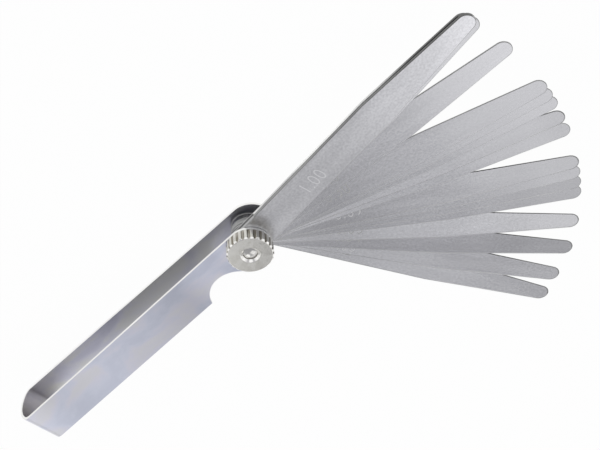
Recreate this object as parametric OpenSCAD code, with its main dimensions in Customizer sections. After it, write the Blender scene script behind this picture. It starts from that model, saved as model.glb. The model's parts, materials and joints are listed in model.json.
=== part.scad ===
// Feeler gauge: a folded steel holder with a set of graduated leaves fanned out on one clamping screw.
// The screw axis is Z and the holder runs to -X. The gauge lies on the head of the screw, with the nut up.

/* [Leaves] */
// Distance from the screw axis to the tip of a leaf
leaf_reach = 95; // [90:0.5:100]
// Extra reach of the thickest leaf
thick_extra = 0.9; // [0:0.1:1]
// Width of a leaf along its parallel part
leaf_w = 10; // [9:0.1:11]
// Distance from the screw axis to the start of the taper
taper_start = 57; // [45:1:65]
// Angle between the leaf's middle line and a tapered edge
taper_angle = 3.8; // [2.5:0.1:4.2]
// Air between two leaves while the nut is slack
leaf_gap = 0.11; // [0.08:0.01:0.2]
// Share of the free height below the stack that the loosest leaves have slid down
loose_share = 0.7; // [0:0.05:0.9]

/* [Holder] */
// Width of the strip that the holder is folded from
strip_w = 12.7; // [12:0.1:14]
// Thickness of the strip
strip_t = 0.8; // [0.6:0.05:0.9]
// Height over both cheeks at the screw
clamp_h = 10.1; // [9.9:0.1:12]
// Extra length of the far cheek past the screw
far_extra = 1.3; // [0:0.1:2]
// Angle by which each cheek springs outwards behind the screw
spring_angle = 0.9; // [0.3:0.1:1.2]
// Length of the flat pad of each cheek behind the screw axis
pad_l = 9; // [8:0.5:12]
// Distance from the leaf tips, folded home, to the outside of the tail
tail_gap = 4; // [3.5:0.1:8]
// Outer radius of the two corners of the fold
fold_r = 3.6; // [2.8:0.1:4]
// Outer radius of the wall between those corners
wall_r = 8; // [7.8:0.1:10]
// Distance from the screw axis back to the middle of the thumb notch
notch_x = 15.8; // [15:0.1:30]
// Radius of the thumb notch
notch_r = 8.6; // [7:0.1:10]
// Depth of the thumb notch
notch_depth = 5; // [2:0.1:5.5]

/* [Screw] */
// Diameter of the shank
screw_d = 4; // [3.6:0.1:5]
// Radial clearance between the shank and the holes round it
running_fit = 0.05; // [0.02:0.01:0.1]
// Diameter of the head
head_d = 9.5; // [8.5:0.1:11]
// Height of the head
head_h = 2.2; // [2:0.1:3]
// Chamfer round the head's outer edge
head_chamfer = 0.3; // [0.1:0.05:0.6]
// Width of the screwdriver slot
slot_w = 1.2; // [0.8:0.1:1.6]
// Depth of the screwdriver slot
slot_depth = 1; // [0.6:0.1:1.4]
// Direction of the slot, from +X
slot_angle = 35; // [20:5:70]
// Radius of the domed end
dome_r = 3.6; // [3:0.1:8]

/* [Nut] */
// Diameter over the nut's ribs
nut_d = 13.5; // [12:0.1:14]
// Height of the nut
nut_h = 4; // [3:0.1:5]
// Number of flutes round the nut
flutes = 24; // [16:1:26]
// Radius of a flute
flute_r = 0.5; // [0.4:0.05:0.8]
// Depth of a flute
flute_depth = 0.4; // [0.2:0.05:0.4]
// Chamfer round the nut's two faces
nut_chamfer = 0.45; // [0.45:0.05:0.8]
// Countersink at the mouth of the nut's hole
nut_countersink = 0.75; // [0.1:0.05:0.9]
// Distance of the screw's end below the nut's face
end_recess = 0.2; // [0.1:0.1:1]
// Angle from +X to the middle of a rib
nut_turn = 7.5; // [0:0.5:15]

/* [Hidden] */
$fn = 96;
// Gap that keeps the slack nut and the first leaf just off the near cheek
seat_gap = 0.02;
// Extra length of a cutter past the face that it goes through
past = 1;
// Thickness of each leaf, from the near cheek to the far one
thickness = concat([1, 0.75, 0.5, 0.4, 0.3, 0.25, 0.2, 0.15, 0.1], [for (h = [9:-1:2]) h / 100]);
// Number of thin leaves that have slid down the screw
loose_leaves = 2;
// The fan in groups: angle of a group's first leaf from +X, step to the next leaf, number of leaves
fan = [[4.5, 0.1, 2], [3, 0, 1], [-5, 0, 1], [-15.7, -2.2, 3], [-23.8, -3.1, 2],
       [-34.7, -2.4, 4], [-48.8, -6.5, 2], [-63, -5.1, 2]];
leaf_angle = [for (group = fan) for (k = [0:group[2] - 1]) group[0] + k * group[1]];

// Heights along the screw
bore_d = screw_d + 2 * running_fit;
mid_z = head_h + clamp_h / 2;
near_z = head_h + clamp_h;
nut_z = near_z + seat_gap;
nut_top = nut_z + nut_h;
screw_end = nut_top - end_recess;

// Top face of leaf i, below every thicker leaf and the air between them
function stack_above(i) = i == 0 ? 0 : stack_above(i - 1) + thickness[i - 1] + leaf_gap;
free_height = clamp_h - 2 * strip_t - leaf_gap - stack_above(len(thickness));
function slid(i) = i < len(thickness) - loose_leaves ? 0 : loose_share * free_height;
function leaf_top(i) = near_z - strip_t - leaf_gap - stack_above(i) - slid(i);

// Tip radius that meets both tapered edges smoothly
taper = tan(taper_angle);
function tip_radius(reach) = (leaf_w / 2 - (reach - taper_start) * taper) / (1 / cos(taper_angle) - taper);

// Side profile of the fold, seen along Y, as distances from the middle of the clamped height
tail_x = -(leaf_reach + tail_gap);
wall_x = tail_x + wall_r;
cheek_v = clamp_h / 2;
rise = tan(spring_angle);
corner_v0 = cheek_v - pad_l * rise - fold_r / cos(spring_angle);
fold_b = wall_x + corner_v0 * rise;
fold_c = wall_x * wall_x + corner_v0 * corner_v0 - pow(wall_r - fold_r, 2);
corner_x = (fold_b - sqrt(fold_b * fold_b - (1 + rise * rise) * fold_c)) / (1 + rise * rise);
corner_v = corner_v0 - rise * corner_x;
corner_angle = atan2(corner_v, corner_x - wall_x);
cheek_normal = [sin(spring_angle), cos(spring_angle)];
wedge = 3 * wall_r;

function two_digits(n) = str(n < 10 ? "0" : "", n);
function blade_name(t) = str("blade_", floor(t), "_", two_digits(round(t * 100) % 100), "mm");

// Filled side profile of the fold at a depth below its outer face, from the tail to past the free ends
module fold_region(depth) {
    v = cheek_v - depth;
    free_x = strip_w / 2 + far_extra + depth;
    edge = [corner_x, corner_v] + (fold_r - depth) * cheek_normal;
    polygon([
        [free_x, -v], [free_x, v], [-pad_l, v], edge, [corner_x, corner_v],
        [corner_x, -corner_v], [edge[0], -edge[1]], [-pad_l, -v]
    ]);
    for (side = [1, -1])
        translate([corner_x, side * corner_v])
        circle(fold_r - depth);
    translate([wall_x, 0])
        intersection() {
            circle(wall_r - depth);
            polygon([
                [0, 0],
                wedge * [cos(corner_angle), sin(corner_angle)],
                [-wedge, 0],
                wedge * [cos(corner_angle), -sin(corner_angle)]
            ]);
        }
}

module fold_profile() {
    difference() {
        fold_region(0);
        fold_region(strip_t);
    }
}

// What is cut off to round the free end of a cheek
module end_cutter() {
    difference() {
        translate([0, -strip_w])
            square(2 * strip_w);
        circle(d = strip_w);
    }
}

module holder_strap() {
    color([0.72, 0.73, 0.77])
    difference() {
        translate([0, 0, mid_z])
            rotate([90, 0, 0])
            linear_extrude(strip_w, center = true)
            fold_profile();
        translate([0, 0, mid_z])
            linear_extrude(clamp_h)
            end_cutter();
        translate([far_extra, 0, head_h - past])
            linear_extrude(mid_z - head_h + past)
            end_cutter();
        translate([0, 0, head_h - past])
            cylinder(d = bore_d, h = clamp_h + 2 * past);
        translate([-notch_x, notch_depth - strip_w / 2 - notch_r, 0])
            cylinder(r = notch_r, h = near_z + 2 * past);
    }
}

module pivot_screw() {
    color([0.7, 0.7, 0.68])
    difference() {
        union() {
            cylinder(d1 = head_d - 2 * head_chamfer, d2 = head_d, h = head_chamfer);
            translate([0, 0, head_chamfer])
                cylinder(d = head_d, h = head_h - head_chamfer);
            translate([0, 0, head_h])
                intersection() {
                    cylinder(d = screw_d, h = screw_end - head_h);
                    translate([0, 0, screw_end - head_h - dome_r])
                        union() {
                            sphere(dome_r);
                            mirror([0, 0, 1])
                                cylinder(r = dome_r, h = screw_end);
                        }
                }
        }
        rotate([0, 0, slot_angle])
            translate([-head_d, -slot_w / 2, -past])
            cube([2 * head_d, slot_w, slot_depth + past]);
    }
}

module clamp_nut() {
    rim = nut_d / 2;
    hole = bore_d / 2;
    color([0.72, 0.72, 0.68])
    rotate([0, 0, nut_turn])
    difference() {
        translate([0, 0, nut_z])
            rotate_extrude()
            polygon([
                [hole, 0],
                [rim - nut_chamfer, 0],
                [rim, nut_chamfer],
                [rim, nut_h - nut_chamfer],
                [rim - nut_chamfer, nut_h],
                [hole + nut_countersink, nut_h],
                [hole, nut_h - nut_countersink]
            ]);
        for (k = [0:flutes - 1])
            rotate([0, 0, (k + 0.5) * 360 / flutes])
            translate([rim + flute_r - flute_depth, 0, near_z - past])
            cylinder(r = flute_r, h = nut_h + 2 * past);
    }
}

// Plan of a leaf: round butt, parallel part, taper and round tip
module leaf_outline(reach) {
    tip_r = tip_radius(reach);
    tip_x = reach - tip_r;
    tip_touch = [tip_x + tip_r * sin(taper_angle), tip_r * cos(taper_angle)];
    difference() {
        union() {
            circle(d = leaf_w);
            translate([0, -leaf_w / 2])
                square([taper_start, leaf_w]);
            polygon([
                [taper_start, leaf_w / 2],
                [taper_start, -leaf_w / 2],
                [tip_touch[0], -tip_touch[1]],
                tip_touch
            ]);
            translate([tip_x, 0])
                circle(tip_r);
        }
        circle(d = bore_d);
    }
}

module blade(i) {
    color([0.68, 0.68, 0.69])
    rotate([0, 0, leaf_angle[i]])
        translate([0, 0, leaf_top(i) - thickness[i]])
        linear_extrude(thickness[i])
        leaf_outline(leaf_reach + (i == 0 ? thick_extra : 0));
}

holder_strap();
pivot_screw();
clamp_nut();
for (i = [0:len(thickness) - 1])
    blade(i);
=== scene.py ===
"""Looks of a feeler gauge: a folded steel holder with graduated leaves fanned out on one clamping screw.

Lengths are in millimetres, in the frame of the solids, and become metres where a mesh is made.
"""
import json
import logging
from dataclasses import dataclass, field, replace
from enum import Enum, IntEnum
from typing import Any, Sequence

import bmesh
import bpy
import numpy as np
from bpy.types import ID, Material, Mesh, Node, NodeSocket, NodeTree, Object
from mathutils import Matrix, Vector
from numpy.typing import NDArray


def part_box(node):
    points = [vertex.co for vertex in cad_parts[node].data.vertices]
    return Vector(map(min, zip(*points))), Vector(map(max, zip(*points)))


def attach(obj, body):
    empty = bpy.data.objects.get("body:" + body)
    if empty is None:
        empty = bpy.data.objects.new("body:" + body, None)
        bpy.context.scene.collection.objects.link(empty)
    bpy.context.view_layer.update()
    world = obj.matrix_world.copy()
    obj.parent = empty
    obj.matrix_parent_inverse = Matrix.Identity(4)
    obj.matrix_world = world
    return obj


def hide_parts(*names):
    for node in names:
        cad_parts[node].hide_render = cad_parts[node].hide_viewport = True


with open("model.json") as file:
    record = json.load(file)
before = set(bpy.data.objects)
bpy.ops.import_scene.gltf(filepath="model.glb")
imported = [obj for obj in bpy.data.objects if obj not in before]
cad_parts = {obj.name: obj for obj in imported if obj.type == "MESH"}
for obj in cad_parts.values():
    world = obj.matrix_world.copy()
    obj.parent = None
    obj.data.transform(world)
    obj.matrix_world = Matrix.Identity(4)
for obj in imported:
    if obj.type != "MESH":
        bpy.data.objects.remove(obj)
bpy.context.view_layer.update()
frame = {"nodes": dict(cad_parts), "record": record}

Array = NDArray[np.float64]
Rgb = tuple[float, float, float]
Xyz = tuple[float, float, float]
Stops = tuple[tuple[float, Rgb], ...]

LOG = logging.getLogger("feeler_gauge")
MM = 0.001
LEAF_PLAN = "leaf_plan"


class Slot(Enum):
    """Material slots of the record."""

    HOLDER = "holder_steel"
    LEAF = "leaf_steel"
    NICKEL = "nickel"


class Cheek(Enum):
    """The two cheeks of the holder, with the side of the middle plane that each is on."""

    NEAR = 1
    FAR = -1


# Meshes


@dataclass(frozen=True)
class Surface:
    """A grid of points on a surface, rows by columns by 3.

    A face's normal is the step to the next column crossed with the step to the next row.
    """

    points: Array
    loop_rows: bool = False
    loop_columns: bool = False
    flip: bool = False

    def quads(self, first: int) -> NDArray[np.int64]:
        """Corner numbers of every cell of the grid.

        Args:
            first: Number of the grid's first point in the mesh.

        Returns:
            One row of four point numbers for each cell.
        """
        rows, columns = self.points.shape[:2]
        index = first + np.arange(rows * columns).reshape(rows, columns)
        if self.loop_rows:
            index = np.vstack([index, index[:1]])
        if self.loop_columns:
            index = np.hstack([index, index[:, :1]])
        corners = (index[:-1, :-1], index[:-1, 1:], index[1:, 1:], index[1:, :-1])
        quads = np.stack(corners, axis=-1).reshape(-1, 4)
        return quads[:, ::-1] if self.flip else quads


def mesh_from(name: str, surfaces: Sequence[Surface]) -> Mesh:
    """Joins surfaces into one mesh, in metres, and merges the points that they share.

    Args:
        name: Name of the mesh.
        surfaces: Grids in millimetres.

    Returns:
        The mesh, with smooth faces.
    """
    points = np.concatenate([s.points.reshape(-1, 3) for s in surfaces]) * MM
    firsts = np.cumsum([0] + [s.points.size // 3 for s in surfaces[:-1]])
    quads = np.concatenate([s.quads(int(first)) for s, first in zip(surfaces, firsts)])
    mesh = bpy.data.meshes.new(name)
    mesh.vertices.add(len(points))
    mesh.vertices.foreach_set("co", points.ravel())
    mesh.loops.add(quads.size)
    mesh.loops.foreach_set("vertex_index", quads.ravel())
    mesh.polygons.add(len(quads))
    mesh.polygons.foreach_set("loop_start", np.arange(0, quads.size, 4))
    mesh.update(calc_edges=True)
    if len(surfaces) > 1:
        weld(mesh)
    mesh.polygons.foreach_set("use_smooth", np.ones(len(mesh.polygons), dtype=bool))
    return mesh


def weld(mesh: Mesh, distance: float = 0.001) -> None:
    """Merges points of a mesh that lie together.

    Args:
        mesh: The mesh.
        distance: Greatest distance of two such points, in millimetres.
    """
    work = bmesh.new()
    work.from_mesh(mesh)
    bmesh.ops.remove_doubles(work, verts=work.verts, dist=distance * MM)
    work.to_mesh(mesh)
    work.free()


def paint(mesh: Mesh, slots: NDArray[np.int64]) -> None:
    """Sets the material slot of each face."""
    mesh.polygons.foreach_set("material_index", slots.ravel().astype(np.int32))


def add_object(name: str, data: ID) -> Object:
    """Puts an object at the origin of the scene.

    Args:
        name: Its name.
        data: Its mesh, letters, lamp or camera.

    Returns:
        The object.
    """
    made = bpy.data.objects.new(name, data)
    bpy.context.scene.collection.objects.link(made)
    return made


def place(name: str, mesh: Mesh, finishes: Sequence["MetalFinish | FloorFinish"]) -> Object:
    """Puts a mesh in the scene, with its finishes.

    Args:
        name: Name of the object.
        mesh: Its mesh, in the shared frame.
        finishes: Its finishes, in the order of its material slots.

    Returns:
        The object.
    """
    for finish in finishes:
        mesh.materials.append(finish.material())
    return add_object(name, mesh)


def settle(piece: Object) -> None:
    """Turns an object's modifiers into its mesh.

    Args:
        piece: The object, which keeps its name and its materials.
    """
    depsgraph = bpy.context.evaluated_depsgraph_get()
    mesh = bpy.data.meshes.new_from_object(piece.evaluated_get(depsgraph))
    piece.modifiers.clear()
    rough = piece.data
    piece.data = mesh
    bpy.data.meshes.remove(rough)


def arc(radius: float, start: float, end: float, count: int) -> Array:
    """Points on a circle about the origin: radius times cosine and sine of an evenly growing angle.

    Args:
        radius: Radius of the circle.
        start: First angle, in degrees.
        end: Last angle, in degrees.
        count: Number of points.

    Returns:
        One row of two coordinates for each point.
    """
    angle = np.radians(np.linspace(start, end, count))
    return radius * np.column_stack([np.cos(angle), np.sin(angle)])


def midway(values: Array, axis: int = 0) -> Array:
    """Mean of each value and the next one round a loop."""
    return (values + np.roll(values, -1, axis=axis)) / 2


# Finishes


class Shade:
    """A node tree and the short calls that fill it."""

    def __init__(self, tree: NodeTree) -> None:
        """Starts from an empty tree."""
        self.tree = tree
        tree.nodes.clear()

    def add(self, kind: str, inputs: dict[str, Any] | None = None, **settings: Any) -> Node:
        """Adds a node.

        Args:
            kind: Type of the node.
            inputs: Values, or sockets to link, by the name of the input.
            settings: Properties of the node.

        Returns:
            The node.
        """
        node = self.tree.nodes.new(kind)
        for key, value in settings.items():
            setattr(node, key, value)
        for key, value in (inputs or {}).items():
            self.feed(node.inputs[key], value)
        return node

    def feed(self, socket: NodeSocket, value: Any) -> None:
        """Links a socket to an input, or sets the input's own value.

        Args:
            socket: The input.
            value: A socket to link, or a value.
        """
        if isinstance(value, NodeSocket):
            self.tree.links.new(value, socket)
        else:
            socket.default_value = value

    def ramp(self, mask: NodeSocket, stops: Stops, steps: str = "LINEAR") -> NodeSocket:
        """Colours a mask.

        Args:
            mask: Values from 0 to 1.
            stops: Xyz and colour of each stop.
            steps: How the colour goes from stop to stop.

        Returns:
            The colour.
        """
        node = self.add("ShaderNodeValToRGB", {"Fac": mask})
        node.color_ramp.interpolation = steps
        elements = node.color_ramp.elements
        while len(elements) < len(stops):
            elements.new(0.5)
        for element, (position, colour) in zip(elements, stops):
            element.position = position
            element.color = (*colour, 1.0)
        return node.outputs["Color"]

    def spread(self, mask: NodeSocket, low: float, high: float) -> NodeSocket:
        """Maps a mask from 0..1 to low..high."""
        node = self.add("ShaderNodeMapRange", {"Value": mask, "To Min": low, "To Max": high})
        return node.outputs["Result"]

    def math(self, operation: str, a: Any, b: Any, kind: str = "ShaderNodeMath") -> NodeSocket:
        """Works out one value from two.

        Args:
            operation: Name of the sum.
            a: First value or socket.
            b: Second value or socket.
            kind: Type of the node, for numbers or for vectors.

        Returns:
            The result.
        """
        node = self.add(kind, operation=operation)
        self.feed(node.inputs[0], a)
        self.feed(node.inputs[1], b)
        return node.outputs[0]

    def product(self, a: NodeSocket, b: NodeSocket) -> NodeSocket:
        """Multiplies two vectors or colours part by part."""
        return self.math("MULTIPLY", a, b, "ShaderNodeVectorMath")


@dataclass(frozen=True)
class NoisePattern:
    """Noise drawn out along its first axis, with what lies between two levels stretched to 0..1."""

    name: str
    output: str
    detail: float
    roughness: float
    low: float
    high: float
    distortion: float = 0.0
    steps: str = "LINEAR"

    def group(self) -> NodeTree:
        """The pattern as a node group, with its number of cells along and across as inputs.

        Returns:
            The group, made the first time.
        """
        made = bpy.data.node_groups.get(self.name)
        if made:
            return made
        tree = bpy.data.node_groups.new(self.name, "ShaderNodeTree")
        inputs = {"Vector": "NodeSocketVector", "Along": "NodeSocketFloat", "Across": "NodeSocketFloat"}
        for label, kind in inputs.items():
            tree.interface.new_socket(label, in_out="INPUT", socket_type=kind)
        tree.interface.new_socket(self.output, in_out="OUTPUT", socket_type="NodeSocketFloat")
        shade = Shade(tree)
        source = shade.add("NodeGroupInput")
        result = shade.add("NodeGroupOutput")
        vector, along, across = (source.outputs[label] for label in inputs)
        cells = shade.add("ShaderNodeCombineXYZ", {"X": along, "Y": across, "Z": across})
        noise = shade.add("ShaderNodeTexNoise", {
            "Vector": shade.product(vector, cells.outputs["Vector"]), "Scale": 1.0,
            "Detail": self.detail, "Roughness": self.roughness, "Distortion": self.distortion})
        steep = shade.add("ShaderNodeMapRange", {
            "Value": noise.outputs["Fac"], "From Min": self.low, "From Max": self.high},
            interpolation_type=self.steps)
        shade.feed(result.inputs[self.output], steep.outputs["Result"])
        return tree

    def mask(self, shade: Shade, vector: NodeSocket, cells: tuple[float, float]) -> NodeSocket:
        """Places the pattern in a material.

        Args:
            shade: The material's tree.
            vector: The vector that it follows.
            cells: Noise cells per millimetre along and across.

        Returns:
            The pattern's mask.
        """
        along, across = cells
        inputs = {"Vector": vector, "Along": along, "Across": across}
        return shade.add("ShaderNodeGroup", inputs, node_tree=self.group()).outputs[self.output]


class Effect(Enum):
    """Surface effects that the finishes share: fine grain, soft blotches and a few thin scratches."""

    GRINDING = NoisePattern("grinding_lines", "Line", detail=4.0, roughness=0.6, low=0.3, high=0.7)
    CLOUD = NoisePattern(
        "soft_cloud", "Cloud", detail=3.0, roughness=0.5, low=0.3, high=0.7,
        distortion=0.6, steps="SMOOTHSTEP")
    HAIRLINE = NoisePattern(
        "hairline_scratches", "Scratch", detail=1.0, roughness=0.4, low=0.68, high=0.78,
        distortion=0.3, steps="SMOOTHSTEP")


@dataclass(frozen=True)
class MetalFinish:
    """A bare or plated metal. Its patterns are drawn in millimetres, over Object coordinates or a UV map.

    The pair of each effect says how many noise cells it has per millimetre along and across the grain. Grain
    and blotches are blended by line_share, and scratches are added. The tones, dark to light, are spread over
    tone_span of the blend, and painted light and shade multiply them by gains at distances along the first
    axis.
    """

    name: str
    tones: tuple[Rgb, ...]
    roughness: tuple[float, float]
    grinding: tuple[float, float] = (0.1, 9.0)
    cloud: tuple[float, float] = (0.05, 0.12)
    hairline: tuple[float, float] = (0.06, 3.0)
    line_share: float = 0.3
    scratch_gain: float = 0.08
    metallic: float = 1.0
    bump: float = 0.25
    bump_depth: float = 0.01
    uv_map: str = ""
    fade: Stops = ()
    tone_span: tuple[float, float] = (0.2, 0.8)

    def coordinates(self, shade: Shade) -> NodeSocket:
        """The vector that the patterns follow, in millimetres.

        Args:
            shade: The material's tree.

        Returns:
            The vector.
        """
        if self.uv_map:
            return shade.add("ShaderNodeUVMap", uv_map=self.uv_map).outputs["UV"]
        metres = shade.add("ShaderNodeTexCoord").outputs["Object"]
        return shade.add("ShaderNodeMapping", {"Vector": metres, "Scale": (1 / MM,) * 3}).outputs["Vector"]

    def faded(self, shade: Shade, vector: NodeSocket, colour: NodeSocket) -> NodeSocket:
        """Multiplies a colour by the gain of its painted light and shade.

        Args:
            shade: The material's tree.
            vector: The vector that gives the distance.
            colour: The colour without its painted light and shade.

        Returns:
            The colour with its painted light and shade.
        """
        first, last = self.fade[0][0], self.fade[-1][0]
        along = shade.add("ShaderNodeSeparateXYZ", {"Vector": vector}).outputs["X"]
        share = shade.add("ShaderNodeMapRange", {"Value": along, "From Min": first, "From Max": last})
        stops = tuple(((distance - first) / (last - first), gain) for distance, gain in self.fade)
        return shade.product(colour, shade.ramp(share.outputs["Result"], stops, "EASE"))

    def material(self) -> Material:
        """The finish as a material.

        Returns:
            The material, made the first time.
        """
        made = bpy.data.materials.get(self.name)
        if made:
            return made
        material = bpy.data.materials.new(self.name)
        material.use_nodes = True
        shade = Shade(material.node_tree)
        vector = self.coordinates(shade)
        lines = Effect.GRINDING.value.mask(shade, vector, self.grinding)
        cloud = Effect.CLOUD.value.mask(shade, vector, self.cloud)
        scratch = Effect.HAIRLINE.value.mask(shade, vector, self.hairline)
        blend = shade.math("ADD", shade.math("MULTIPLY", lines, self.line_share),
                           shade.math("MULTIPLY", cloud, 1.0 - self.line_share))
        blend = shade.math("ADD", blend, shade.math("MULTIPLY", scratch, self.scratch_gain))
        places = np.linspace(*self.tone_span, len(self.tones))
        colour = shade.ramp(blend, tuple(zip(places, self.tones)))
        # Painted light and shade along the first axis
        if self.fade:
            colour = self.faded(shade, vector, colour)
        bump = shade.add("ShaderNodeBump", {
            "Height": lines, "Strength": self.bump, "Distance": self.bump_depth * MM})
        metal = shade.add("ShaderNodeBsdfPrincipled", {
            "Base Color": colour,
            "Metallic": self.metallic,
            "Roughness": shade.spread(blend, *self.roughness),
            "Normal": bump.outputs["Normal"]})
        shade.add("ShaderNodeOutputMaterial", {"Surface": metal.outputs["BSDF"]})
        return material


@dataclass(frozen=True)
class FloorFinish:
    """White paper that keeps part of the object's shadow.

    Camera, glossy and transmission rays see it as white by the share given, and all other light sees plain
    diffuse paper.
    """

    name: str = "white_paper"
    colour: Rgb = (0.93, 0.93, 0.93)
    white_share: float = 0.97

    def material(self) -> Material:
        """The finish as a material.

        Returns:
            The material.
        """
        material = bpy.data.materials.new(self.name)
        material.use_nodes = True
        shade = Shade(material.node_tree)
        path = shade.add("ShaderNodeLightPath")
        seen = shade.math("MAXIMUM", path.outputs["Is Camera Ray"], path.outputs["Is Glossy Ray"])
        seen = shade.math("MAXIMUM", seen, path.outputs["Is Transmission Ray"])
        paper = shade.add("ShaderNodeBsdfDiffuse", {"Color": (*self.colour, 1.0)})
        white = shade.add("ShaderNodeEmission", {"Color": (1.0, 1.0, 1.0, 1.0), "Strength": 1.0})
        mix = shade.add("ShaderNodeMixShader", {"Fac": shade.math("MULTIPLY", seen, self.white_share)})
        shade.feed(mix.inputs[1], paper.outputs[0])
        shade.feed(mix.inputs[2], white.outputs[0])
        shade.add("ShaderNodeOutputMaterial", {"Surface": mix.outputs[0]})
        return material


def grey(level: float) -> Rgb:
    """A plain grey."""
    return (level, level, level)


def greys(*stops: tuple[float, float]) -> Stops:
    """Painted light and shade that keep the hue, from pairs of distance and gain."""
    return tuple((distance, grey(gain)) for distance, gain in stops)


# Roughness of a cut or rolled edge of a leaf, and how much of the blue its lightest tone keeps
CUT_ROUGHNESS = (0.35, 0.5)
CUT_BLUE = 0.98

# Middle tone of ground steel, its blue tinge, and the distances from the screw where its painted light and
# shade are set
STEEL_GREY = 0.68
STEEL_BLUE = 0.015
LEAF_PAINTED_LIGHT_AT = (22.0, 48.0, 64.0, 82.0, 94.0)

# Outer zinc plate. Its gains along the strap are a painted highlight on the outside of the fold at the tail,
# then painted light and shade along the cheeks, lighter again towards the pad.
ZINC = MetalFinish(
    "satin_zinc_plate",
    ((0.49, 0.51, 0.59), (0.53, 0.55, 0.63), (0.57, 0.57, 0.64), (0.59, 0.59, 0.62)),
    roughness=(0.28, 0.36), grinding=(0.6, 5.0), cloud=(0.05, 0.09), line_share=0.2,
    fade=greys((-98.4, 1.5), (-97.3, 1.46), (-95.5, 1.04), (-82.0, 0.9), (-66.0, 1.0), (-47.0, 0.97),
               (-28.0, 0.88), (-15.0, 1.2)))
# Inner zinc plate. Its gains are painted warm shade deep in the fold at the tail, and painted light on the
# inner faces near the tail that grows darker towards the screw.
INNER_ZINC = MetalFinish(
    "inner_zinc_plate",
    ((0.50, 0.50, 0.56), (0.54, 0.54, 0.60), (0.58, 0.58, 0.61), (0.60, 0.60, 0.59)),
    roughness=(0.36, 0.46), grinding=(0.6, 5.0), cloud=(0.05, 0.12), line_share=0.2, scratch_gain=0.04,
    fade=((-97.5, (0.69, 0.66, 0.64)), *greys((-93.0, 1.32), (-76.0, 1.2), (-47.0, 0.95), (-17.0, 0.88))))
SHEARED_EDGE = MetalFinish(
    "bright_sheared_edge", ((0.84, 0.84, 0.82), (0.92, 0.92, 0.90)), roughness=(0.2, 0.3))
# Lower long edge of a leaf. Its gains are painted light along the leaf, strongest near the tip.
ROLLED_EDGE = MetalFinish(
    "rolled_edge", ((0.36, 0.36, 0.37), (0.42, 0.42, 0.42)), roughness=CUT_ROUGHNESS, uv_map=LEAF_PLAN,
    fade=greys((30.0, 1.2), (66.0, 1.5), (84.0, 1.6), (90.0, 1.45), (94.5, 1.0)))
NICKEL = MetalFinish(
    "nickel_plate",
    ((0.59, 0.58, 0.54), (0.64, 0.63, 0.59), (0.68, 0.67, 0.63)),
    roughness=(0.17, 0.25), grinding=(4.0, 4.0), cloud=(0.3, 0.3), hairline=(0.5, 0.5), line_share=0.2)
# Painted highlight on the nut's upper chamfers and its countersink
NICKEL_PAINTED_HIGHLIGHT = MetalFinish(
    "nickel_painted_highlight", ((0.88, 0.87, 0.84), (0.94, 0.93, 0.90)), roughness=(0.14, 0.2))
SCREW_NICKEL = MetalFinish(
    "screw_nickel_plate", ((0.70, 0.69, 0.66), (0.78, 0.77, 0.74)), roughness=(0.14, 0.2))
# Painted shade in the nut's flutes and its bore: darker, browner nickel
NICKEL_PAINTED_SHADE = replace(
    NICKEL, name="nickel_painted_shade_in_grooves", roughness=(0.3, 0.45),
    tones=((0.24, 0.22, 0.18), (0.32, 0.30, 0.26), (0.42, 0.40, 0.36)))


def cut_edge(name: str, dark: float, light: float, **settings: Any) -> MetalFinish:
    """Plain grey edge of a leaf.

    Args:
        name: Name of the finish.
        dark: Its darkest tone.
        light: Its lightest tone.
        settings: Other fields of the finish.

    Returns:
        The finish.
    """
    tones = (grey(dark), (light, light, CUT_BLUE * light))
    return MetalFinish(name, tones, roughness=CUT_ROUGHNESS, uv_map=LEAF_PLAN, **settings)


@dataclass(frozen=True)
class LongEdge:
    """A long edge of a leaf: its finish and the width of its rounding."""

    finish: MetalFinish
    width: float = 0.2


class LeafEdge(Enum):
    """How the long edge of a leaf looks on the side that the light leaves dark: its dark tones are painted
    shade, and its gains along the leaf are painted light.
    """

    THICK = LongEdge(cut_edge("thick_cut_edge", 0.13, 0.19, fade=greys((25.0, 2.1), (85.0, 1.0))))
    # Not worn: painted light from the butt to the middle of the leaf, and painted shade towards the tip
    WORN = LongEdge(cut_edge("base_lit_cut_edge", 0.13, 0.19, fade=greys((52.0, 5.2), (80.0, 1.0))))
    DARK = LongEdge(
        cut_edge("dark_cut_edge", 0.20, 0.28, fade=greys((12.0, 2.2), (48.0, 0.3), (70.0, 0.3), (95.0, 1.0))),
        width=0.32)
    GREY = LongEdge(cut_edge("grey_cut_edge", 0.30, 0.40))
    BRIGHT = LongEdge(cut_edge("bright_cut_edge", 0.30, 0.40, fade=greys((12.0, 1.6), (48.0, 1.0))))


class LeafButt(Enum):
    """How the round edge of a leaf's butt looks in the stack. The lighter tones are painted light on butts
    that lie in the shade between the cheeks.
    """

    DARK = cut_edge("dark_butt_edge", 0.08, 0.14, metallic=0.2)
    MIDDLE = cut_edge("grey_butt_edge", 0.44, 0.56, metallic=0.2)
    LIGHT = cut_edge("light_butt_edge", 0.62, 0.78, metallic=0.2)


def ground_steel(
        name: str, level: float, gains: tuple[float, ...] = (1.03, 1.12, 1.06, 0.95, 0.9),
        speckle: float = 0.04, roughness: tuple[float, float] = (0.18, 0.26)) -> MetalFinish:
    """Ground spring steel of a leaf.

    Args:
        name: Last word of the finish's name.
        level: Its lightness beside the middle one.
        gains: What the lightness is multiplied by at set distances from the screw: painted light and shade
            along the leaf.
        speckle: Greatest step of its speckle above and below the middle tone.
        roughness: Its least and greatest roughness.

    Returns:
        The finish.
    """
    levels = [level * (STEEL_GREY + step) for step in (-speckle, 0.0, speckle)]
    tones = tuple((tone, tone, tone + STEEL_BLUE) for tone in levels)
    return MetalFinish(
        f"ground_steel_{name}", tones, roughness=roughness, grinding=(1.3, 1.5), cloud=(0.03, 0.2),
        line_share=0.7, scratch_gain=0.03, bump=0.12, uv_map=LEAF_PLAN, fade=greys(*zip(LEAF_PAINTED_LIGHT_AT, gains)))


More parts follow.
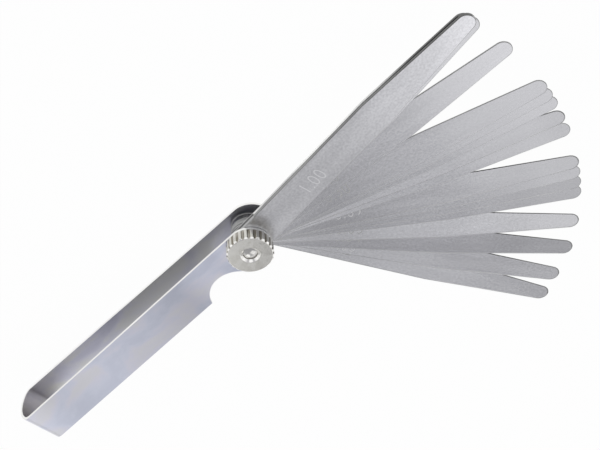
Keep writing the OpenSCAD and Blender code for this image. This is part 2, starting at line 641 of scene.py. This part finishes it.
class LeafTone(Enum):
    """How light and how speckled a leaf's ground faces are, with painted light and shade along each leaf."""

    COARSE = ground_steel("coarse", 1.07, (0.85, 0.91, 1.04, 1.1, 1.2), speckle=0.08, roughness=(0.3, 0.38))
    LIGHT = ground_steel("light", 1.14, (0.95, 1.14, 1.1, 0.93, 0.85))
    MIDDLE = ground_steel("middle", 1.02)
    # The next two are darker near the screw: painted shade there, and painted light further along the leaf
    SHADED_BASE = ground_steel("shaded_base", 1.0, (0.86, 1.07, 1.06, 1.0, 1.0))
    SHADED_BASE_GREY = ground_steel("shaded_base_grey", 0.93, (0.97, 1.11, 1.06, 0.97, 0.96))
    GREY = ground_steel("grey", 0.96, (0.88, 1.09, 1.06, 0.9, 0.84))
    EVEN = ground_steel("even", 0.94, (1.18, 1.2, 1.06, 0.93, 0.84))
    DULL = ground_steel("dull", 0.91, (0.98, 1.1, 1.06, 0.95, 0.9))
    DULLER = ground_steel("duller", 0.86, (0.98, 1.18, 1.06, 0.88, 0.82))
    DARK = ground_steel("dark", 0.79, (1.03, 1.2, 1.13, 0.93, 0.83))


class Mark(Enum):
    """How a leaf's number looks: still white, worn, or hardly there."""

    WHITE = MetalFinish(
        "white_mark", ((0.78, 0.78, 0.79), (0.9, 0.9, 0.9)), roughness=(0.5, 0.6), metallic=0.0)
    WORN = MetalFinish(
        "worn_mark", ((0.56, 0.56, 0.57), (0.74, 0.74, 0.74)), roughness=(0.5, 0.6), metallic=0.0)
    FAINT = MetalFinish("faint_mark", ((0.46, 0.46, 0.46), (0.52, 0.52, 0.51)), roughness=(0.34, 0.42))


# Pieces of the gauge


class StrapFace(IntEnum):
    """Material slots of the strap's faces."""

    OUTER = 0
    EDGE = 1
    INNER = 2


@dataclass
class Holder:
    """The strip folded to a U at the tail, and the screw that is fixed in it.

    The pads about the screw are meshed by themselves and meet the strip at join_x.
    """

    strip_w: float = 12.7
    strip_t: float = 0.8
    clamp_h: float = 10.1
    head_h: float = 2.2
    spring_angle: float = 0.9
    pad_l: float = 9.0
    tail_x: float = -99.0
    fold_r: float = 3.6
    wall_r: float = 8.0
    notch_x: float = 15.8
    notch_r: float = 8.6
    notch_depth: float = 5.0
    bore_r: float = 2.05
    far_extra: float = 1.3
    join_x: float = -7.5
    edge_r: float = 0.22
    edge_angle: float = 50.0
    edge_segments: int = 4
    across: int = 10
    corner_points: int = 25
    wall_points: int = 13
    notch_points: int = 61
    cheek_points: int = 30
    side_points: int = 7
    end_points: int = 49
    ray_points: int = 5
    body: str = "holder"
    finish: MetalFinish = ZINC
    edge_finish: MetalFinish = SHEARED_EDGE
    inner_finish: MetalFinish = INNER_ZINC
    screw_finish: MetalFinish = SCREW_NICKEL

    @property
    def mid_z(self) -> float:
        """Height of the middle plane between the cheeks."""
        return self.head_h + self.clamp_h / 2

    @property
    def rise(self) -> float:
        """Rise of a cheek per length behind its pad: the tangent of the spring angle."""
        return np.tan(np.radians(self.spring_angle))

    def cheek_face(self, x: Array) -> Array:
        """Distance of a cheek's outer face from the middle plane: flat at the pad, rising behind it."""
        return self.clamp_h / 2 + self.rise * np.maximum(0, -x - self.pad_l)

    def path(self) -> Array:
        """Side profile of the strip's outer face, from the near pad round the tail to the far pad.

        The cheek is flat as far as the pad goes and then rises by the spring angle. A corner arc, tangent to
        it, goes over to the wide arc of the tail's wall. The corner's centre lies one corner radius below the
        cheek, and as far from the wall's centre as the two radii differ, which gives a quadratic equation for
        its x. The far half is the near half turned over.

        Returns:
            Rows of x and distance from the middle plane.
        """
        rise = self.rise
        wall_x = self.tail_x + self.wall_r
        below = self.fold_r / np.cos(np.radians(self.spring_angle))
        corner_v0 = self.clamp_h / 2 - self.pad_l * rise - below
        square = 1 + rise * rise
        linear = wall_x + corner_v0 * rise
        constant = wall_x**2 + corner_v0**2 - (self.wall_r - self.fold_r) ** 2
        corner_x = (linear - np.sqrt(linear * linear - square * constant)) / square
        corner = np.array([corner_x, corner_v0 - rise * corner_x])
        corner_angle = np.degrees(np.arctan2(corner[1], corner[0] - wall_x))
        turn = corner + arc(self.fold_r, 90 - self.spring_angle, corner_angle, self.corner_points)
        wall = np.array([wall_x, 0]) + arc(self.wall_r, corner_angle, 180, self.wall_points)
        chord = np.sqrt(self.notch_r**2 - (self.notch_r - self.notch_depth) ** 2)
        notch = -self.notch_x + chord * np.cos(np.radians(np.linspace(0, 180, self.notch_points)))
        cheek = np.linspace(notch[-1], turn[0, 0], self.cheek_points)[1:-1]
        x = np.sort(np.concatenate([[self.join_x], notch, [-self.pad_l], cheek]))[::-1]
        near = np.vstack([np.column_stack([x, self.cheek_face(x)]), turn, wall[1:]])
        return np.vstack([near, near[-2::-1] * [1, -1]])

    def lower_edge(self, x: Array) -> Array:
        """Where the strip's lower edge lies: at its side, or on the notch's circle where that is higher.

        Args:
            x: Places along the strip.

        Returns:
            The edge's y at each place.
        """
        centre = self.notch_depth - self.strip_w / 2 - self.notch_r
        reach = np.maximum(0, self.notch_r**2 - (x + self.notch_x) ** 2)
        return np.maximum(-self.strip_w / 2, centre + np.sqrt(reach))

    def strip(self) -> Surface:
        """The side profile carried across the strip, from its lower edge to its upper edge.

        Returns:
            The strip's outer face.
        """
        x, v = self.path().T[:, :, None]
        low = self.lower_edge(x)
        y = low + (self.strip_w / 2 - low) * np.linspace(0, 1, self.across + 1)
        return Surface(np.stack(np.broadcast_arrays(x, y, self.mid_z + v), axis=-1))

    def pad(self, cheek: Cheek) -> Surface:
        """Outer face of a cheek about the screw.

        Straight rays run from the bore's circle to the outline, which is a half circle at the free end, two
        straight sides and the line where the strip goes on. The far cheek's half circle is further out.

        Args:
            cheek: Which cheek.

        Returns:
            The face.
        """
        half = self.strip_w / 2
        end = self.far_extra if cheek is Cheek.FAR else 0.0
        side = np.linspace(self.join_x, end, self.side_points)
        back = np.linspace(half, -half, self.across + 1)
        outline = np.vstack([
            np.column_stack([side[:-1], np.full(self.side_points - 1, -half)]),
            arc(half, -90, 90, self.end_points) + [end, 0.0],
            np.column_stack([side[-2::-1], np.full(self.side_points - 1, half)]),
            np.column_stack([np.full(self.across - 1, self.join_x), back[1:-1]])])
        ray = outline / np.linalg.norm(outline, axis=1, keepdims=True)
        step = np.linspace(0, 1, self.ray_points)[:, None, None]
        plan = self.bore_r * ray * (1 - step) + outline * step
        z = np.full(plan.shape[:2] + (1,), self.mid_z + cheek.value * self.clamp_h / 2)
        return Surface(np.concatenate([plan, z], axis=-1), loop_columns=True, flip=cheek is Cheek.NEAR)

    def build(self) -> list[Object]:
        """Makes the strap from its outer face, gives it its thickness and rounds its cut edges.

        Returns:
            The strap and the screw.
        """
        mesh = mesh_from("holder_strap_sheet", [self.strip(), self.pad(Cheek.NEAR), self.pad(Cheek.FAR)])
        strap = place("holder_strap_sheet", mesh, (self.finish, self.edge_finish, self.inner_finish))
        wall = strap.modifiers.new("wall", "SOLIDIFY")
        wall.thickness = self.strip_t * MM
        wall.offset = -1.0
        wall.use_even_offset = True
        wall.material_offset = StrapFace.INNER
        wall.material_offset_rim = StrapFace.EDGE
        edge = strap.modifiers.new("edge", "BEVEL")
        edge.width = self.edge_r * MM
        edge.segments = self.edge_segments
        edge.limit_method = "ANGLE"
        edge.angle_limit = np.radians(self.edge_angle)
        edge.material = StrapFace.EDGE
        edge.harden_normals = True
        settle(strap)
        self.dull_inner_edge(strap.data)
        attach(strap, self.body)
        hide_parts("holder_strap")
        return [strap, self.dress_screw()]

    def dull_inner_edge(self, mesh: Mesh) -> None:
        """Gives the rounding on the inner side of the cheeks' edges the finish of the inner face.

        Args:
            mesh: The strap's finished mesh.
        """
        count = len(mesh.polygons)
        centre = np.empty(3 * count)
        index = np.empty(count, dtype=np.int32)
        mesh.polygons.foreach_get("center", centre)
        mesh.polygons.foreach_get("material_index", index)
        x, _, z = centre.reshape(-1, 3).T / MM
        deep = self.cheek_face(x) - np.abs(z - self.mid_z) > self.strip_t - self.edge_r
        inner = (index == StrapFace.EDGE) & deep & (x > self.tail_x + self.fold_r)
        paint(mesh, np.where(inner, StrapFace.INNER, index))

    def dress_screw(self) -> Object:
        """Gives the screw's own solid its nickel plate.

        Returns:
            The screw.
        """
        screw = frame["nodes"]["pivot_screw"]
        for slot in screw.material_slots:
            slot.material = self.screw_finish.material()
        return screw


class NutFace(IntEnum):
    """Material slots of the nut's faces."""

    PLATE = 0
    GROOVE = 1
    CHAMFER = 2


@dataclass
class ClampNut:
    """The round fluted nut on the near cheek.

    The corners of its section are rounded by edge_r, and the points beside them lie support times as far out.
    Faces deeper below the blank than groove_from are part of a flute.
    """

    rim: float = 6.75
    height: float = 4.0
    base_z: float = 12.32
    bore_r: float = 2.05
    chamfer: float = 0.45
    countersink: float = 0.75
    flutes: int = 24
    flute_r: float = 0.5
    flute_depth: float = 0.4
    rib_angle: float = 7.5
    rib_round: float = 0.035
    edge_r: float = 0.08
    support: float = 1.3
    corner_points: int = 5
    per_flute: int = 28
    body: str = "nut"
    finish: MetalFinish = NICKEL
    groove_shade: MetalFinish = NICKEL_PAINTED_SHADE
    chamfer_highlight: MetalFinish = NICKEL_PAINTED_HIGHLIGHT
    groove_from: float = 0.12

    def profile(self) -> Array:
        """Half section of the turned blank, from the bore's lower edge out, up and back in.

        Each corner is a parabola: the corner, plus edge_r times (1 - t) squared towards the one before and t
        squared towards the next one. One more point on each side keeps the faces beside it flat.

        Returns:
            Rows of radius and height.
        """
        corner = self.rim - self.chamfer
        top = self.height
        low = [[corner, 0.0], [self.rim, self.chamfer]]
        high = [[self.rim, top - self.chamfer], [corner, top]]
        mouth = [[self.bore_r + self.countersink, top], [self.bore_r, top - self.countersink]]
        points = np.array([[self.bore_r, 0.0], *low, *high, *mouth])
        before = np.roll(points, 1, axis=0) - points
        after = np.roll(points, -1, axis=0) - points
        before /= np.linalg.norm(before, axis=1, keepdims=True)
        after /= np.linalg.norm(after, axis=1, keepdims=True)
        t = np.linspace(0, 1, self.corner_points)
        lead = np.concatenate([[self.support], (1 - t) ** 2, [0.0]])[None, :, None]
        lag = np.concatenate([[0.0], t**2, [self.support]])[None, :, None]
        curve = points[:, None] + self.edge_r * (lead * before[:, None] + lag * after[:, None])
        return curve.reshape(-1, 2)

    def flute_wall(self, phi: Array) -> Array:
        """Distance from the axis to the wall of the nearest flute: the near side of a circle cut by a ray.

        Args:
            phi: Angles from the middle of a rib, in radians.

        Returns:
            The distances, large where the ray misses the flute.
        """
        pitch = 2 * np.pi / self.flutes
        delta = (phi % pitch) - pitch / 2
        centre = self.rim + self.flute_r - self.flute_depth
        inside = self.flute_r**2 - (centre * np.sin(delta)) ** 2
        wall = centre * np.cos(delta) - np.sqrt(np.maximum(0, inside))
        return np.where(inside > 0, wall, 2 * self.rim)

    def surface(self) -> tuple[Surface, Array]:
        """The blank's section carried round the axis.

        The radius is the smooth minimum of the section's radius and the flute's wall: minus k times the log
        of exp(-radius / k) plus exp(-wall / k). It gives each rib rounded corners, and each flute runs out in
        the chamfers.

        Returns:
            The closed surface, and how deep each of its points lies below the blank.
        """
        count = self.flutes * self.per_flute
        phi = np.arange(count) * 2 * np.pi / count
        section = self.profile()
        wall = self.flute_wall(phi)[None, :]
        k = self.rib_round
        radius = -k * np.logaddexp(-section[:, :1] / k, -wall / k)
        angle = phi + np.radians(self.rib_angle)
        z = np.broadcast_to(self.base_z + section[:, 1:], radius.shape)
        grid = np.stack([radius * np.cos(angle), radius * np.sin(angle), z], axis=-1)
        return Surface(grid, loop_rows=True, loop_columns=True), section[:, :1] - radius

    def build(self) -> list[Object]:
        """Makes the nut, with painted shade in its flutes and its bore and a painted highlight on its upper
        chamfers.

        Returns:
            The nut.
        """
        surface, depth = self.surface()
        mesh = mesh_from("fluted_nut", [surface])
        nut = place("fluted_nut", mesh, (self.finish, self.groove_shade, self.chamfer_highlight))
        # Painted shade in the flutes and the bore, and a painted highlight on the upper chamfers and the
        # countersink's mouth
        in_flute = midway(midway(depth, axis=1)) > self.groove_from
        section = self.profile()
        in_bore = (section[:, 0] < self.bore_r + self.edge_r)[:, None]
        radius, height = midway(section).T
        outside = (radius > self.rim - self.chamfer) & (height > self.height - self.chamfer)
        mouth = (radius < self.bore_r + self.countersink) & (height > self.height - self.countersink)
        plate = np.where(outside | mouth, NutFace.CHAMFER, NutFace.PLATE)[:, None]
        paint(mesh, np.where(in_flute | in_bore, NutFace.GROOVE, plate))
        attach(nut, self.body)
        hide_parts("clamp_nut")
        return [nut]


class LeafFace(IntEnum):
    """Material slots of a leaf's faces."""

    GROUND = 0
    EDGE = 1
    ROLLED = 2
    BUTT = 3


@dataclass
class Leaf:
    """One leaf: round butt, parallel part, taper and round tip, with its thickness marked on its face.

    Its rim is rounded down by edge_h, or by rim_share of its thickness where that is less. The butt's finish
    goes on along the upper side to butt_to, and plan_across moves the grain, which differs from leaf to leaf.
    """

    size: str
    tone: LeafTone = LeafTone.MIDDLE
    edge: LeafEdge = LeafEdge.BRIGHT
    butt: LeafButt = LeafButt.MIDDLE
    mark: Mark = Mark.FAINT
    rolled_finish: MetalFinish = ROLLED_EDGE
    reach: float = 95.0
    width: float = 10.0
    taper_start: float = 57.0
    taper_angle: float = 3.8
    bore_r: float = 2.05
    edge_h: float = 0.06
    rim_share: float = 0.4
    face_inset: float = 1.5
    sharp_angle: float = 60.0
    butt_to: float = 9.0
    plan_across: float = 0.0
    butt_points: int = 49
    side_points: int = 17
    side_from: float = 5.0
    tip_points: int = 33
    rim_points: int = 4
    mark_from: float = 24.9
    mark_to: float = 32.6
    mark_height: float = 4.2
    mark_centre: float = -0.4
    mark_lift: float = 0.01
    mark_spacing: float = 1.1
    mark_slimming: float = 0.018
    mark_steps: int = 4
    mark_weld: float = 0.0001
    draft_depth: float = 0.5
    angle: float = field(init=False)
    low: float = field(init=False)
    high: float = field(init=False)

    def __post_init__(self) -> None:
        """Takes the leaf's angle from its joint's range, and its heights from its solid."""
        joints = frame["record"]["behaviour"]["joints"]
        limits = next(j["range_deg"] for j in joints if j["child"] == self.body)
        self.angle = -(limits[0] + limits[1]) / 2
        box_low, box_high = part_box(self.node)
        self.low, self.high = box_low[2] / MM, box_high[2] / MM

    @property
    def node(self) -> str:
        """Name of the leaf's solid."""
        return f"blade_{self.size}"

    @property
    def body(self) -> str:
        """Name of the leaf's body."""
        return f"leaf_{self.size}"

    @property
    def number(self) -> str:
        """The thickness as it is marked."""
        return self.size.removesuffix("mm").replace("_", ".")

    def outline(self) -> tuple[Array, Array]:
        """Plan of the leaf along +X, against the clock, and its outward normals.

        A half circle about the screw, two parallel sides, two tapered sides and an arc tangent to them. The
        points of the parallel sides lie at even angles about the screw, so that the bore stays round.

        Returns:
            Points and normals.
        """
        half = self.width / 2
        taper = np.radians(self.taper_angle)
        drop = (self.reach - self.taper_start) * np.tan(taper)
        tip_r = (half - drop) / (1 / np.cos(taper) - np.tan(taper))
        tip_x = self.reach - tip_r
        butt = arc(1, 90, 270, self.butt_points)
        tip = arc(1, self.taper_angle - 90, 90 - self.taper_angle, self.tip_points)
        lean_angle = -90 + self.taper_angle / 2
        lean = arc(1, lean_angle, lean_angle, 1)
        side_to = np.arctan(self.taper_start / half)
        side_x = half * np.tan(np.linspace(np.radians(self.side_from), side_to, self.side_points))
        low_side = np.column_stack([side_x, np.full(self.side_points, -half)])
        down = np.tile([0.0, -1.0], (self.side_points - 1, 1))
        points = np.vstack([half * butt, low_side, tip_r * tip + [tip_x, 0], low_side[::-1] * [1, -1]])
        normals = np.vstack([butt, down, lean, tip, lean * [1, -1], -down])
        return points, normals

    def section(self) -> tuple[Array, Array]:
        """Rim of the leaf: quarter ellipses at its two edges, and a point beside them on each face.

        Returns:
            Distance inside the outline and height, from the upper face to the lower one.
        """
        quarter = arc(1.0, 90, 0, self.rim_points)
        inset = self.edge.value.width * np.concatenate([[self.face_inset], 1 - quarter[:, 0]])
        depth = min(self.edge_h, self.rim_share * (self.high - self.low))
        rise = depth * np.concatenate([[0.0], quarter[:, 1] - 1])
        height = np.concatenate([self.high + rise, self.low - rise[::-1]])
        return np.concatenate([inset, inset[::-1]]), height

    def turned(self, plan: Array, z: Array) -> Array:
        """Turns plan points by the leaf's angle about the screw and sets their heights.

        Args:
            plan: Points of the leaf along +X.
            z: Their heights.

        Returns:
            Points in the shared frame.
        """
        c, s = np.cos(np.radians(self.angle)), np.sin(np.radians(self.angle))
        x, y = plan[..., 0], plan[..., 1]
        return np.stack([c * x - s * y, s * x + c * y, np.broadcast_to(z, x.shape)], axis=-1)

    def build(self) -> list[Object]:
        """Makes the leaf and its mark.

        The section is carried round the outline and closed through the bore. Its first two rows of faces are
        the upper face, its last three are the lower face and the bore, and the rim lies between them.

        Returns:
            The leaf and the mark.
        """
        points, normals = self.outline()
        inset, height = self.section()
        rim = points - inset[:, None, None] * normals
        bore = self.bore_r * points / np.linalg.norm(points, axis=1, keepdims=True)
        plan = np.concatenate([bore[None], rim, bore[None]])
        z = np.concatenate([[self.high], height, [self.low]])[:, None]
        surface = Surface(self.turned(plan, z), loop_rows=True, loop_columns=True, flip=True)
        mesh = mesh_from(self.node + "_steel", [surface])
        mesh.set_sharp_from_angle(angle=np.radians(self.sharp_angle))
        self.lay_plan(mesh, plan.reshape(-1, 2))
        finishes = (self.tone.value, self.edge.value.finish, self.rolled_finish, self.butt.value)
        leaf = place(self.node + "_steel", mesh, finishes)
        rows = np.arange(len(plan))[:, None]
        on_rim = (rows > 1) & (rows < len(plan) - 3)
        middle_x, middle_y = midway(points).T
        upper = middle_y > 0
        long_edge = np.where(upper, LeafFace.EDGE, LeafFace.ROLLED)
        rim_face = np.where(middle_x < self.butt_to * upper, LeafFace.BUTT, long_edge)
        paint(mesh, np.where(on_rim, rim_face, LeafFace.GROUND))
        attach(leaf, self.body)
        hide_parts(self.node)
        return [leaf, self.build_mark()]

    def lay_plan(self, mesh: Mesh, plan: Array) -> None:
        """Writes the plan, in millimetres, as the mesh's UV map, so that the grain follows the leaf.

        Args:
            mesh: The leaf's mesh.
            plan: Plan point of each vertex.
        """
        corner = np.empty(len(mesh.loops), dtype=np.int32)
        mesh.loops.foreach_get("vertex_index", corner)
        layer = mesh.uv_layers.new(name=LEAF_PLAN)
        layer.data.foreach_set("uv", (plan[corner] + [0.0, self.plan_across]).ravel())

    def build_mark(self) -> Object:
        """Writes the leaf's thickness on its upper face.

        The letters are made at any size and depth, and then stretched to the mark's own.

        Returns:
            The number, as a thin mesh.
        """
        name = f"mark_{self.size}"
        curve = bpy.data.curves.new(name, "FONT")
        curve.body = self.number
        curve.space_character = self.mark_spacing
        curve.extrude = self.draft_depth
        curve.offset = -self.mark_slimming
        curve.resolution_u = self.mark_steps
        draft = add_object(name, curve)
        mesh = bpy.data.meshes.new_from_object(draft.evaluated_get(bpy.context.evaluated_depsgraph_get()))
        bpy.data.objects.remove(draft)
        bpy.data.curves.remove(curve)
        flat = np.empty(3 * len(mesh.vertices))
        mesh.vertices.foreach_get("co", flat)
        flat = flat.reshape(-1, 3)
        share = (flat - flat.min(axis=0)) / np.ptp(flat, axis=0)
        plan = np.column_stack([
            self.mark_from + share[:, 0] * (self.mark_to - self.mark_from),
            self.mark_centre + (share[:, 1] - 0.5) * self.mark_height])
        points = self.turned(plan, self.high + self.mark_lift * (2 * share[:, 2] - 1)) * MM
        mesh.vertices.foreach_set("co", points.ravel())
        mesh.update()
        weld(mesh, self.mark_weld)
        mark = place(name, mesh, [self.mark.value])
        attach(mark, self.body)
        return mark


@dataclass
class LeafSet:
    """All leaves, from the near cheek to the far one. The thickest is a little longer than the others."""

    leaves: tuple[Leaf, ...] = field(default_factory=lambda: (
        Leaf("1_00mm", LeafTone.COARSE, LeafEdge.THICK, mark=Mark.WHITE, reach=95.9),
        Leaf("0_75mm", LeafTone.MIDDLE, LeafEdge.WORN, LeafButt.DARK),
        Leaf("0_50mm", LeafTone.LIGHT, LeafEdge.GREY),
        Leaf("0_40mm", LeafTone.SHADED_BASE, LeafEdge.GREY, LeafButt.DARK),
        Leaf("0_30mm", LeafTone.SHADED_BASE_GREY, LeafEdge.GREY, LeafButt.LIGHT),
        Leaf("0_25mm", LeafTone.SHADED_BASE_GREY, LeafEdge.BRIGHT, LeafButt.DARK),
        Leaf("0_20mm", LeafTone.SHADED_BASE_GREY, LeafEdge.BRIGHT, LeafButt.LIGHT),
        Leaf("0_15mm", LeafTone.EVEN, LeafEdge.DARK),
        Leaf("0_10mm", LeafTone.EVEN, LeafEdge.BRIGHT, LeafButt.LIGHT),
        Leaf("0_09mm", LeafTone.GREY, LeafEdge.DARK, LeafButt.LIGHT, Mark.WORN),
        Leaf("0_08mm", LeafTone.DULL, LeafEdge.BRIGHT),
        Leaf("0_07mm", LeafTone.DULLER, LeafEdge.BRIGHT, LeafButt.LIGHT),
        Leaf("0_06mm", LeafTone.DULLER, LeafEdge.BRIGHT),
        Leaf("0_05mm", LeafTone.LIGHT, LeafEdge.DARK, LeafButt.LIGHT),
        Leaf("0_04mm", LeafTone.DARK, LeafEdge.DARK, LeafButt.LIGHT),
        Leaf("0_03mm", LeafTone.MIDDLE, LeafEdge.DARK, mark=Mark.WORN, mark_centre=-1.5),
        Leaf("0_02mm", LeafTone.LIGHT, LeafEdge.DARK)))
    plan_step: float = 137.0

    def build(self) -> list[Object]:
        """Makes each leaf with its own stretch of grain.

        Returns:
            The leaves and their marks.
        """
        pieces = []
        for i, leaf in enumerate(self.leaves):
            leaf.plan_across = self.plan_step * i
            pieces += leaf.build()
        return pieces


# Studio


@dataclass(frozen=True)
class Softbox:
    """An oblong soft lamp that faces the origin."""

    name: str
    place: Xyz
    size: tuple[float, float]
    radiance: float

    def build(self) -> None:
        """Makes the lamp. Its power is pi times its area times its radiance."""
        lamp = bpy.data.lights.new(self.name, "AREA")
        lamp.shape = "RECTANGLE"
        lamp.size, lamp.size_y = (side * MM for side in self.size)
        lamp.energy = np.pi * lamp.size * lamp.size_y * self.radiance
        spot = Vector(self.place) * MM
        turn = spot.to_track_quat("Z", "Y").to_matrix()
        add_object(self.name, lamp).matrix_world = Matrix.Translation(spot) @ turn.to_4x4()


@dataclass
class Studio:
    """Floor, lamps, sky and camera. The camera's place is eye, and right, up and back are its own axes."""

    floor_half: float = 1500.0
    floor_points: int = 3
    floor_finish: FloorFinish = FloorFinish()
    sky: Stops = (
        (0.0, grey(0.98)), (0.4, (0.86, 0.86, 0.87)), (0.62, (0.46, 0.46, 0.48)), (1.0, (0.4, 0.4, 0.42)))
    softboxes: tuple[Softbox, ...] = (
        Softbox("left_softbox", (-468.0, -250.0, 430.0), (260.0, 300.0), 0.77),
        Softbox("right_softbox", (0.0, -290.0, 460.0), (300.0, 420.0), 0.6),
        Softbox("camera_softbox", (325.0, 342.0, 530.0), (420.0, 260.0), 0.6),
        Softbox("tail_side_softbox", (-240.0, 490.0, 320.0), (420.0, 300.0), 0.3),
        Softbox("tip_side_softbox", (500.0, -230.0, 300.0), (560.0, 300.0), 0.3),
    )
    eye: Xyz = (258.4, 251.1, 400.0)
    right: Xyz = (0.6711, -0.7383, 0.0674)
    up: Xyz = (0.5781, 0.4643, -0.6709)
    back: Xyz = (0.4640, 0.4893, 0.7384)
    lens: float = 112.62
    sensor_w: float = 36.0
    clip_from: float = 10.0

    def build(self) -> None:
        """Makes the whole stage."""
        self.lay_floor()
        self.light()
        self.look()

    def lay_floor(self) -> None:
        """Makes the flat floor that the gauge lies on."""
        side = np.linspace(-self.floor_half, self.floor_half, self.floor_points)
        x, y = np.meshgrid(side, side)
        mesh = mesh_from("paper_floor", [Surface(np.stack([x, y, 0 * x], axis=-1))])
        place("paper_floor", mesh, [self.floor_finish])

    def light(self) -> None:
        """Sets the sky, which is white all round and greyer overhead, and the softboxes."""
        world = bpy.data.worlds.new("studio_sky")
        world.use_nodes = True
        shade = Shade(world.node_tree)
        way = shade.add("ShaderNodeTexCoord").outputs["Generated"]
        height = shade.add("ShaderNodeSeparateXYZ", {"Vector": way}).outputs["Z"]
        sky = shade.add("ShaderNodeBackground", {"Color": shade.ramp(height, self.sky), "Strength": 1.0})
        shade.add("ShaderNodeOutputWorld", {"Surface": sky.outputs[0]})
        bpy.context.scene.world = world
        for softbox in self.softboxes:
            softbox.build()

    def look(self) -> None:
        """Sets the camera at the photograph's place, turned the photograph's way up."""
        scene = bpy.context.scene
        camera = bpy.data.cameras.new("camera")
        camera.sensor_fit = "HORIZONTAL"
        camera.sensor_width = self.sensor_w
        camera.lens = self.lens
        camera.clip_start = self.clip_from * MM
        viewer = add_object("camera", camera)
        turn = Matrix((self.right, self.up, self.back)).transposed().to_quaternion().to_matrix()
        viewer.matrix_world = Matrix.Translation(Vector(self.eye) * MM) @ turn.to_4x4()
        scene.camera = viewer
        scene.view_settings.view_transform = "Standard"


def main() -> None:
    """Builds and dresses the gauge piece by piece, then the studio round it."""
    logging.basicConfig(level=logging.INFO, format="%(name)s: %(message)s")
    for part in (Holder(), ClampNut(), LeafSet()):
        for piece in part.build():
            LOG.info("%s: %s, %d faces", type(part).__name__, piece.name, len(piece.data.polygons))
    Studio().build()


if __name__ == "__main__":
    main()
